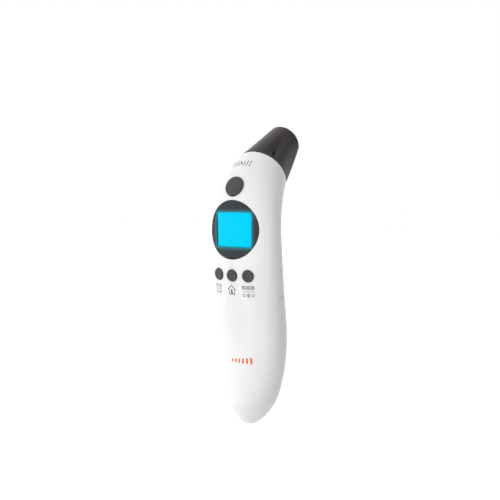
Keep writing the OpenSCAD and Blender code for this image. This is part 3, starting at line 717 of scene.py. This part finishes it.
def triangulate(shape, points, s, turn, block, rearward, inset, holes):
    """Fills a block of a sheet with triangles round its holes."""
    r0, r1, c0, c1 = block
    flat, solid = [], []
    for i in range(r0, r1 + 1):
        for j in range(c0, c1 + 1):
            p = points[i, j]
            inside = r0 < i < r1 and c0 < j < c1
            if not inside or not any(h.covers(p) for h in holes):
                flat.append((i, j))
                solid.append(p)
    constraints, ring_of = [], {}
    for number, h in enumerate(holes):
        for r in (h.outer, h.outer + SUPPORT):
            ring_s, ring_turn = h.ring(r, rearward, inset)
            row = np.interp(ring_s, s, np.arange(len(s)))
            lo = np.interp(ring_s, s, turn[:, c0])
            hi = np.interp(ring_s, s, turn[:, c1])
            column = c0 + (ring_turn - lo) / (hi - lo) * (c1 - c0)
            start = len(flat)
            flat += list(zip(row, column))
            solid += list(skin(ring_s, ring_turn, inset))
            n = len(row)
            if r == h.outer:
                constraints += [(start + i, start + (i + 1) % n) for i in range(n)]
                ring_of.update({start + i: number for i in range(n)})
    result = delaunay_2d_cdt([Vector(q) for q in flat], constraints, [], 0, 1e-7)
    where = [ids[0] if ids else -1 for ids in result[3]]
    faces = []
    for face in result[2]:
        ids = [where[v] for v in face]
        rings = {ring_of.get(i, -1) for i in ids}
        if len(rings) > 1 or -1 in rings:  # else the face lies across a hole
            faces.append(tuple(ids))
    shape.add(np.array(solid), faces)


def rows_between(start, end, edge_start=0.0, edge_end=0.0):
    """Distances along the centre line, with close rows at rounded ends."""
    low = [start + edge_start * f for f in ROUND_STEPS] if edge_start else [start]
    high = [end - edge_end * f for f in ROUND_STEPS[::-1]] if edge_end else [end]
    n = max(1, round((high[0] - low[-1]) / CELL))
    return low + [low[-1] + (high[0] - low[-1]) * i / n for i in range(1, n)] + high


def tail_rows(start, end, edge_end=0.0):
    """Rows from the tail's tip, where they lie closest, to a rounded end."""
    n = 22
    tip = [start + (TAIL_LEN - start) * (1 - math.cos(math.pi / 2 * i / n)) for i in range(n)]
    return tip + rows_between(TAIL_LEN, end, 0.0, edge_end)


def join_skins(shape, outer, inner, tip=False):
    """Closes a half shell: the two seams, and one or both ends."""
    shape.strip(outer[:, 0], inner[:, 0])
    shape.strip(outer[:, -1], inner[:, -1])
    shape.strip(outer[-1], inner[-1])
    if not tip:
        shape.strip(outer[0], inner[0])


def tube(shape, place, r_in, r_out, low, high):
    """A screw post between two depths, with a chamfered far end."""
    hole = Hole(place, r_out, 0.0, 40)
    bevel = 0.12
    shape.rings([hole.at(r_in, low), hole.at(r_out, low), hole.at(r_out, high - bevel),
                 hole.at(r_out - bevel, high), hole.at(r_in + bevel, high),
                 hole.at(r_in, high - bevel), hole.at(r_in, low)])


def front_shell():
    shape = Shape()
    openings = [(DISPLAY, LENS_R + LENS_GAP, 0.3, 112), (SCAN, SCAN_R + KEY_FIT, 0.25, 64)]
    openings += [(place, KEY_R + KEY_FIT, 0.22, 48) for place in KEYS.values()]
    outer_holes = [Hole(*o) for o in openings]
    inner_holes = [Hole(place, r, 0.0, count) for place, r, _, count in openings]
    outer = housing_sheet(shape, tail_rows(0.0, HOUSING_LEN, EDGE), False, 0.0, outer_holes,
                          ends=(False, True))
    inner = housing_sheet(shape, tail_rows(WALL, HOUSING_LEN, EDGE), False, WALL, inner_holes)
    join_skins(shape, outer, inner, tip=True)
    for a, b in zip(outer_holes, inner_holes):
        shape.rings(a.lip(False) + [skin(*b.ring(b.radius, False, WALL), WALL)])
    shape.build("front_housing", "housing", white_plastic(), ["front_shell"])


def screw_posts():
    """The posts inside the front shell that take the case screws and the boards."""
    shape = Shape()
    for s, x in CASE_SCREWS:
        for side in (-1, 1):
            tube(shape, on_line(s, MOULD_LEAN, side * x), 1.12, 2.4, -5.6, -0.02)
    bore = 0.87
    for side in (-1, 1):
        on_display = DISPLAY.at(side * BOARD_POST[0], 0, BOARD_POST[1])
        tube(shape, Place(on_display, X, DISPLAY.inward), bore, 1.9, 3.9, 7.58)
        on_scan = SCAN.at(side * SCAN_POST_X, 0, 0)
        tube(shape, Place(on_scan, X, SCAN.inward), bore, 1.5, 3.2, 8.58)
    shape.build("screw_posts", "housing", white_plastic())


def rear_shell():
    shape = Shape()
    head_r, shank_r, post_r, post_end = 2.4, 1.3, 3.2, 0.02
    screws = [(on_line(s, MOULD_LEAN, side * x), head_r, 0.2, 40)
              for s, x in CASE_SCREWS for side in (-1, 1)]
    buzzer = on_line(104.0)
    sounds = [(Place(buzzer.at(r * math.cos(a), 0, r * math.sin(a)), X, buzzer.inward),
               0.6, 0.15, 20) for r, a in [(0.0, 0.0)] + [(2.6, a) for a in turns(6)]]
    outer_holes = [Hole(*o) for o in screws + sounds]
    inner_holes = [Hole(place, post_r, 0.0, n) for place, _, _, n in screws]
    inner_holes += [Hole(place, r, 0.0, n) for place, r, _, n in sounds]
    rows = rows_between(REAR_START, HOUSING_LEN, EDGE, EDGE)
    outer = housing_sheet(shape, rows, True, 0.0, outer_holes, ends=(True, True))
    inner = housing_sheet(shape, rows, True, WALL, inner_holes)
    join_skins(shape, outer, inner)
    for i, (a, b) in enumerate(zip(outer_holes, inner_holes)):
        wall = a.lip(True)
        if i < len(screws):
            wall += [a.at(head_r, CASE_HEAD_Y), a.at(shank_r, CASE_HEAD_Y),
                     a.at(shank_r, post_end), a.at(post_r, post_end)]
        shape.rings(wall + [skin(*b.ring(b.radius, True, WALL), WALL)])
    shape.build("rear_housing", "housing", white_plastic(), ["rear_shell"])


def block(shape, place, x, y, z):
    """A closed box with cut corners, from (low, high) pairs in a place's axes."""
    cut = 0.25
    stacked(shape, place, x, z, cut,
            [(cut, y[0]), (0, y[0] + cut), (0, y[1] - cut), (cut, y[1])])


def stacked(shape, place, x, z, corner, levels):
    """A closed solid of rounded rectangles, each drawn in by an inset at a depth."""
    steps = 4
    loops = []
    for inset, depth in levels:
        x0, x1, z0, z1 = x[0] + inset, x[1] - inset, z[0] + inset, z[1] - inset
        loop = []
        for cx, cz, sx, sz, quarter in ((x1, z1, 1, 1, 0), (x0, z1, -1, 1, 1),
                                        (x0, z0, -1, -1, 2), (x1, z0, 1, -1, 3)):
            for i in range(steps + 1):
                t = math.pi / 2 * (quarter + i / steps)
                loop.append((cx - sx * corner + corner * math.cos(t), depth,
                             cz - sz * corner + corner * math.sin(t)))
        loops.append(place.at(*np.array(loop).T))
    shape.solid(loops)


def battery_door():
    shape = Shape()
    outer = housing_sheet(shape, tail_rows(0.0, DOOR_END, EDGE), True, 0.0, lift=DOOR_GAP,
                          ends=(False, True))
    inner = housing_sheet(shape, tail_rows(WALL, DOOR_END, EDGE), True, WALL, lift=DOOR_GAP)
    join_skins(shape, outer, inner, tip=True)
    end = on_line(DOOR_END)
    inside = float(rear(DOOR_END)) - WALL
    tongue, top = (-5, 5), inside - 2.3
    block(shape, end, tongue, (top, inside + 0.5), (-5, -0.3))
    block(shape, end, tongue, (top, inside - 1.2), (-1, 3.2))
    for i in range(5):
        rib(shape, 50.8 + 2.8 * i)
    shape.build("door", "battery_door", white_plastic(), ["battery_door"])


def rib(shape, s):
    """A thumb rib across the door: a half-buried bar with round ends."""
    place = on_line(s)
    reach, r = 4.6, 0.75
    lie = float(rear(s)) - 0.3
    side = [(reach - r - 0.2, r)] + [(reach - r + r * math.sin(t), r * math.cos(t))
                                     for t in np.linspace(0, math.pi / 2, 8)]
    profile = [(-x, radius) for x, radius in side[::-1]] + side
    angle = turns(24)
    shape.rings([place.at(x, lie + radius * np.cos(angle), radius * np.sin(angle))
                 for x, radius in profile])


# ---- window and display
def lens():
    shape = Shape()
    angle = turns(112)
    edge = 0.15

    def loop(r, depth):
        s, turn = on_surface(DISPLAY, r * np.cos(angle), r * np.sin(angle))
        return skin(s, turn) + DISPLAY.inward * depth
    radii = list(np.linspace(0.6, LENS_R - 1.0, 15)) + [LENS_R - 0.5, LENS_R - edge]
    rim = [(LENS_R - edge + edge * out, edge * down) for out, down in quarter_round(4, 0.3)]
    top = [loop(r, 0.0) for r in radii] + [loop(r, d) for r, d in rim]
    low = [loop(r, LENS_T) for r in [LENS_R] + radii[::-1]]
    shape.solid(top + low)
    shape.build("lens", "housing", window_glass(), ["display_lens"])


def window_mask():
    """The black print in the back of the window, round a four-sided opening for the display."""
    shape = Shape()
    angle = turns(144)
    outer = LENS_R - 0.25
    corner = 1.2
    half = np.array([LIT_X, LIT_Z]) - corner
    gap = np.full(angle.shape, 0.0)
    for _ in range(40):  # steps outwards until it meets the opening
        at = np.abs(np.stack([np.cos(angle), np.sin(angle)], axis=1) * gap[:, None])
        beyond = np.maximum(at - half, 0)
        inside = np.minimum(np.max(at - half, axis=1), 0)
        gap = gap + (corner - (np.linalg.norm(beyond, axis=1) + inside))
    widest = np.where(np.cos(angle) > 0, 12.3, outer - 0.4)  # cuts its corners at +X
    inner = np.minimum(gap, widest)
    top, low = 0.14, 0.02  # its two faces, from the back of the window
    section = [(share, top) for share in (0, 0.25, 0.5, 0.75, 1)]
    section += [(share, low) for share in (1, 0.5, 0)] + [(0, top)]
    loops = []
    for share, depth in section:
        r = inner + (outer - inner) * share
        s, turn = on_surface(DISPLAY, r * np.cos(angle), r * np.sin(angle))
        loops.append(skin(s, turn) + DISPLAY.inward * (LENS_T - depth))
    shape.rings(loops)
    shape.build("window_mask", "housing", print_with_painted_glow(), ["display_mask"],
                place=DISPLAY)


def display():
    """The lit panel, a flat plate with rounded edges."""
    shape = Shape()
    edge, deep = 0.12, LIT_DEPTH + GLASS_T
    face = [(edge * (1 - out), LIT_DEPTH + edge * down) for out, down in quarter_round(4)]
    levels = face + [(inset, deep - (y - LIT_DEPTH)) for inset, y in face[::-1]]
    stacked(shape, DISPLAY, (-GLASS_X, GLASS_X), (-GLASS_Z, GLASS_Z), 0.4, levels)
    shape.build("lcd_panel", "housing", lit_display(), ["lcd_glass"],
                place=DISPLAY)


# ---- keys
def revolve(shape, place, profile, cut):
    """A closed round body from (radius, depth) points that start and end on its axis. A cut
    (depth, reach) takes off what lies deeper than its depth and lower than its reach."""
    angle = turns(72)
    loops = []
    for r, y in profile[1:-1]:
        radius = np.full(angle.shape, r)
        if cut and y > cut[0]:
            below = np.sin(angle) < -1e-6
            radius[below] = np.minimum(r, cut[1] / -np.sin(angle[below]))
        loops.append(place.at(radius * np.cos(angle), y, radius * np.sin(angle)))
    shape.solid(loops, place.at(0, profile[0][1], 0), place.at(0, profile[-1][1], 0))


def key(name, place, r, flange_y, flange_r, foot, dish, cut=None):
    """A push key: a dished or domed top with a rounded edge, a flange and a stem."""
    shape = Shape()
    top = -KEY_PROUD
    edge, flange_t, stem_r = 0.3, 0.8, 0.85
    flat = r - edge
    profile = [(0, top + dish)]
    profile += [(flat * f, top + dish * (1 - f * f)) for f in np.linspace(0.1, 1, 10)]
    profile += [(flat + edge * out, top + edge * down) for out, down in quarter_round(6, 0.2)]
    profile += [(r, flange_y), (flange_r, flange_y), (flange_r, flange_y + flange_t),
                (stem_r, flange_y + flange_t), (stem_r, foot), (0, foot)]
    revolve(shape, place, profile, cut)
    shape.build(name + "_top", name, key_plastic(), [name])


def keys():
    """The keys' stems end just above their switches, and the home key's switch lies deepest."""
    feet = {"clock_key": 5.04, "home_key": 5.9, "memory_key": 5.04}
    for name, place in KEYS.items():
        key(name, place, KEY_R, flange_y=2.5, flange_r=KEY_R + 0.8, foot=feet[name], dish=0.3)
    key("scan_button", SCAN, SCAN_R, flange_y=3.0, flange_r=SCAN_R + 1, foot=7.4, dish=-0.25,
        cut=(2.99, 3.6))


# ---- probe cap
def cap_point(z, turn, inset):
    """Points of the cap's skin at a height along the head and a turn, drawn in by an inset.
    4 and 6.75 bring the highest point of each curve along the cap to 1."""
    z, turn, inset = np.broadcast_arrays(z, turn, inset)
    u = z / CAP_LEN
    rearward = np.sin(turn) > 0
    square = np.where(rearward, REAR_SQUARE + (2 - REAR_SQUARE) * u, 2.0)
    depth = np.where(rearward, rear(HOUSING_LEN), front(HOUSING_LEN))
    x = CAP_TIP_R + (width(HOUSING_LEN) - CAP_TIP_R) * (1 - u) ** CAP_NARROWS[0] - inset
    y = CAP_TIP_R + (depth - CAP_TIP_R) * (1 - u) ** CAP_NARROWS[1] - inset
    quarter = np.degrees(np.arctan2(np.abs(np.sin(turn)), np.abs(np.cos(turn))))
    near = np.exp(-((quarter - QUARTER_AT) / np.where(rearward, SWELL_SPREAD, VALLEY_SPREAD)) ** 2)
    swell, valley = CAP_SWELL * 4 * u * (1 - u), CAP_DIMPLE * 6.75 * u * (1 - u) ** 2
    along = np.clip((z - CREASE_START) / CREASE_LEN, 0, 1)
    crease = np.exp(-((quarter - QUARTER_AT) / CREASE_SPREAD) ** 2) * 4 * along * (1 - along)
    outside = inset < CAP_WALL / 2
    pinch = near * np.where(rearward, -swell, valley)
    pinch = pinch + np.where(~rearward & outside, CREASE * crease, 0)
    px = x * signed_power(np.cos(turn), 2 / square)
    py = y * signed_power(np.sin(turn), 2 / square)
    shrink = 1 - pinch / np.hypot(px, py)
    return HEAD.at(px * shrink, py * shrink, z)


def probe_cap():
    shape = Shape()
    turn = turns(180)
    shoulder = CAP_LEN - CAP_ROUND
    base, edge, lip = 0.05, 0.3, 0.45
    loops = [cap_point(base + edge * f, turn, rounding(edge * f, edge)) for f in ROUND_STEPS]
    loops += [cap_point(z, turn, 0.0) for z in np.linspace(base + edge, shoulder, 34)[1:]]
    rim = cap_point(shoulder, turn, 0.0)
    centre = HEAD.at(0, 0, shoulder)
    outward = unit(rim - centre)
    for risen, drawn in quarter_round(8, 0.12):
        loops.append(rim - outward * CAP_ROUND * drawn + HEAD.rise * CAP_ROUND * risen)
    for out, down in quarter_round(5):
        r = CAP_HOLE_R + lip * (1 - out)
        loops.append(HEAD.at(r * np.cos(turn), r * np.sin(turn), CAP_LEN - lip * down))
    ceiling = shoulder - 0.6
    loops.append(HEAD.at(CAP_HOLE_R * np.cos(turn), CAP_HOLE_R * np.sin(turn), ceiling))
    loops += [cap_point(z, turn, CAP_WALL) for z in np.linspace(ceiling, base, 22)]
    loops.append(loops[0])
    shape.rings(loops)
    shape.build("cap", "probe_cap", cap_plastic(), ["probe_cap"])


# ---- printed marks
def stroke(shape, path, wide=0.4, closed=False):
    """A raised line on the front skin through (x, s) points, with round ends."""
    p = np.array(path, float)
    follow = np.roll(p, -1, axis=0) - p
    ahead = unit(follow if closed else np.vstack([follow[:-1], follow[-2]]))
    behind = np.roll(ahead, 1, axis=0)
    if not closed:
        behind[0] = ahead[0]
    left_a = np.stack([-ahead[:, 1], ahead[:, 0]], axis=1)
    left_b = np.stack([-behind[:, 1], behind[:, 0]], axis=1)
    side = (left_a + left_b) / (1 + np.sum(left_a * left_b, axis=1, keepdims=True))
    half = np.full(len(p), wide / 2)
    if not closed:
        t = np.linspace(0.15, math.pi / 2, 5)
        first, last = ahead[0], behind[-1]
        caps = (wide / 2) * np.cos(t)[:, None]
        p = np.vstack([p[0] - first * caps, p, (p[-1] + last * caps)[::-1]])
        half = np.concatenate([wide / 2 * np.sin(t), half, (wide / 2 * np.sin(t))[::-1]])
        side = np.vstack([np.tile(side[0], (len(t), 1)), side, np.tile(side[-1], (len(t), 1))])
    soft = np.minimum(0.05, half * 0.5)
    rows = []
    for offset, lift in ((half, PRINT_SUNK), (half - soft, PRINT_LIFT), (0 * half, PRINT_LIFT),
                         (soft - half, PRINT_LIFT), (-half, PRINT_SUNK)):
        q = p + side * offset[:, None]
        rows.append(front_skin(q[:, 1], q[:, 0], lift))
    loops = np.array(rows).transpose(1, 0, 2)
    if closed:
        shape.rings(np.vstack([loops, loops[:1]]))
    else:
        shape.solid(loops)


def run(*corners):
    """Points along the straight lines through (x, s) corners."""
    step = 0.6
    points = [corners[0]]
    for a, b in zip(corners, corners[1:]):
        n = max(1, round(math.hypot(b[0] - a[0], b[1] - a[1]) / step))
        points += [(a[0] + (b[0] - a[0]) * i / n, a[1] + (b[1] - a[1]) * i / n)
                   for i in range(1, n + 1)]
    return points


def arc(centre, radius, start, end, n):
    """Points along an arc between two angles in degrees."""
    angles = np.radians(np.linspace(start, end, n))
    return [(centre[0] + radius * math.cos(a), centre[1] + radius * math.sin(a)) for a in angles]


def circle(centre, radius, n=28):
    return arc(centre, radius, 0, 360 * (1 - 1 / n), n)


def clock_mark(shape, x, s):
    """A clock with two bells and two feet."""
    stroke(shape, circle((x, s), 1.75), closed=True)
    stroke(shape, run((x, s + 1.0), (x, s), (x + 0.8, s - 0.3)), 0.34)
    for side in (-1, 1):
        stroke(shape, arc((x, s), 2.55, 90 + side * 28, 90 + side * 58, 6), 0.36)
        stroke(shape, run((x + side * 1.25, s - 1.75), (x + side * 1.65, s - 2.3)), 0.36)


def house_mark(shape, x, s):
    """A house: roof, walls and door."""
    stroke(shape, run((x - 2.2, s + 0.3), (x, s + 2.2), (x + 2.2, s + 0.3)))
    stroke(shape, run((x - 1.6, s + 0.5), (x - 1.6, s - 1.9), (x + 1.6, s - 1.9),
                      (x + 1.6, s + 0.5)))
    stroke(shape, run((x, s - 1.5), (x, s - 0.1)), 0.95)


def memory_mark(shape, x, s):
    """Three memory cells over a line."""
    h = 0.66
    for cx in (x - 2.15, x, x + 2.15):
        corners = [(cx - h, s - h), (cx + h, s - h), (cx + h, s + h), (cx - h, s + h)]
        stroke(shape, corners, 0.38, closed=True)
        stroke(shape, run((cx - 0.25, s), (cx + 0.25, s)), 0.4)
    stroke(shape, run((x - 2.8, s - 1.85), (x + 2.8, s - 1.85)), 0.24)


def lamp_mark(shape, x, s):
    """A small lamp with its rays, between two short lines on each side."""
    stroke(shape, circle((x, s), 0.42, 16), 0.36, closed=True)
    for a in np.arange(8) * 45:
        stroke(shape, [arc((x, s), r, a, a, 1)[0] for r in (0.78, 1.05)], 0.28)
    for side in (-1, 1):
        stroke(shape, run((x + side * 1.75, s + 0.4), (x + side * 3.1, s + 0.4)), 0.36)
        stroke(shape, run((x + side * 1.75, s - 0.4), (x + side * 2.6, s - 0.4)), 0.36)


def scan_mark(shape, x, s):
    """A dot with three arcs on each side."""
    stroke(shape, run((x - 0.01, s), (x + 0.01, s)), 1.1)
    for r in (1.7, 3.3, 4.9):
        reach = math.degrees(math.asin(1.35 / (r + 0.35)))
        for middle in (0, 180):
            stroke(shape, arc((x, s), r, middle - reach, middle + reach, 9), 0.44)


def level_mark(shape, x, s):
    """A row of rising bars near the foot of the handle."""
    for i in range(6):
        at = x + (i - 2.5) * 2.2
        stroke(shape, run((at, s - 1.15), (at, s - 0.35 + 0.32 * i)), 1.2)


def prints():
    """The printed marks, each at its sideways place and distance along the centre line."""
    shape = Shape()
    clock_mark(shape, -9.6, 72.4)
    house_mark(shape, -0.7, 72.5)
    memory_mark(shape, 8.4, 74.0)
    lamp_mark(shape, 8.4, 70.4)
    scan_mark(shape, -0.8, 126.0)
    grey = moulded("grey_ink", (0.03, 0.031, 0.033), 0.15, (0.4, 0.5), 0.3, 0.004)
    shape.build("key_marks", "housing", grey)
    shape = Shape()
    level_mark(shape, 1.4, 36.5)
    orange = moulded("orange_ink", (0.8, 0.17, 0.045), 0.06, (0.35, 0.45), 0.3, 0.004)
    shape.build("level_mark", "housing", orange)


# ---- put together
front_shell()
screw_posts()
rear_shell()
battery_door()
lens()
window_mask()
display()
keys()
probe_cap()
prints()
for part in frame["record"]["subparts"]:
    finish = slot_finish(part["material_slot"])
    if finish:
        for material_slot in frame["nodes"][part["node"]].material_slots:
            material_slot.material = finish


# ---- stage, light and camera
def floor():
    """A pale floor well below the object, which it neither lights nor mirrors in."""
    size, depth = 4.0, -0.16
    mesh = bpy.data.meshes.new("floor")
    corners = [(x * size, y * size, depth) for x, y in ((-1, -1), (1, -1), (1, 1), (-1, 1))]
    mesh.from_pydata(corners, [], [(0, 1, 2, 3)])
    f = Finish("pale_floor", Emission_Color=(1, 1, 1, 1), Emission_Strength=0.35)
    f.drive("Base Color", f.mix(f.noise(400.0), (0.88, 0.88, 0.88), (0.9, 0.9, 0.9)))
    mesh.materials.append(f.material)
    obj = bpy.data.objects.new("floor", mesh)
    bpy.context.scene.collection.objects.link(obj)
    obj.visible_diffuse = obj.visible_glossy = obj.visible_transmission = False


def light():
    """A white room, brightest at the object's front left, with three weaker lights: behind its
    left, below its right and above it."""
    world = bpy.data.worlds.new("room")
    bpy.context.scene.world = world
    world.use_nodes = True
    tree = world.node_tree
    tree.nodes.clear()

    def add(kind, *sources):
        node = tree.nodes.new(kind)
        for socket, source in zip(node.inputs, sources):
            tree.links.new(source, socket)
        return node
    place = add("ShaderNodeTexCoord").outputs["Generated"]

    def glow(direction, spread):
        """Brightness by direction, from (low, high, at low, at high)."""
        facing = add("ShaderNodeVectorMath", place)
        facing.operation = "DOT_PRODUCT"
        facing.inputs[1].default_value = Vector(direction).normalized()
        level = add("ShaderNodeMapRange", facing.outputs["Value"])
        for socket, value in zip(list(level.inputs)[1:5], spread):
            socket.default_value = value
        return level.outputs[0]

    total = glow((-0.74, -0.66, -0.1), (-1.0, 1.0, 0.27, 1.36))
    for direction, spread in (((-0.5, 0.86, 0.0), (0.45, 1.0, 0.0, 0.6)),
                              ((0.5, 0.0, -0.87), (0.5, 1.0, 0.0, 0.36)),
                              ((0.15, -0.4, 0.9), (0.35, 1.0, 0.0, 0.18))):
        joined = add("ShaderNodeMath", total, glow(direction, spread))
        joined.operation = "ADD"
        total = joined.outputs[0]
    lit, seen = add("ShaderNodeBackground"), add("ShaderNodeBackground")
    tree.links.new(total, lit.inputs["Strength"])
    for node in (lit, seen):
        node.inputs["Color"].default_value = (1, 1, 1, 1)
    ray = add("ShaderNodeLightPath").outputs["Is Camera Ray"]
    mixer = add("ShaderNodeMixShader", ray, lit.outputs[0], seen.outputs[0])
    add("ShaderNodeOutputWorld", mixer.outputs[0])


def camera():
    target = Vector((0.0, -0.00083, 0.04436))
    turn, rise, distance = math.radians(35.6), math.radians(4.65), 0.307
    level = math.cos(rise)
    away = Vector((math.sin(turn) * level, -math.cos(turn) * level, math.sin(rise)))
    data = bpy.data.cameras.new("camera")
    data.lens, data.sensor_width = 44.2, 36.0
    data.clip_start, data.clip_end = 0.01, 50.0
    obj = bpy.data.objects.new("camera", data)
    bpy.context.scene.collection.objects.link(obj)
    obj.location = target + away * distance
    obj.rotation_mode = "QUATERNION"
    obj.rotation_quaternion = (-away).to_track_quat("-Z", "Y")
    bpy.context.scene.camera = obj


floor()
light()
camera()
bpy.context.scene.view_settings.view_transform = "Standard"
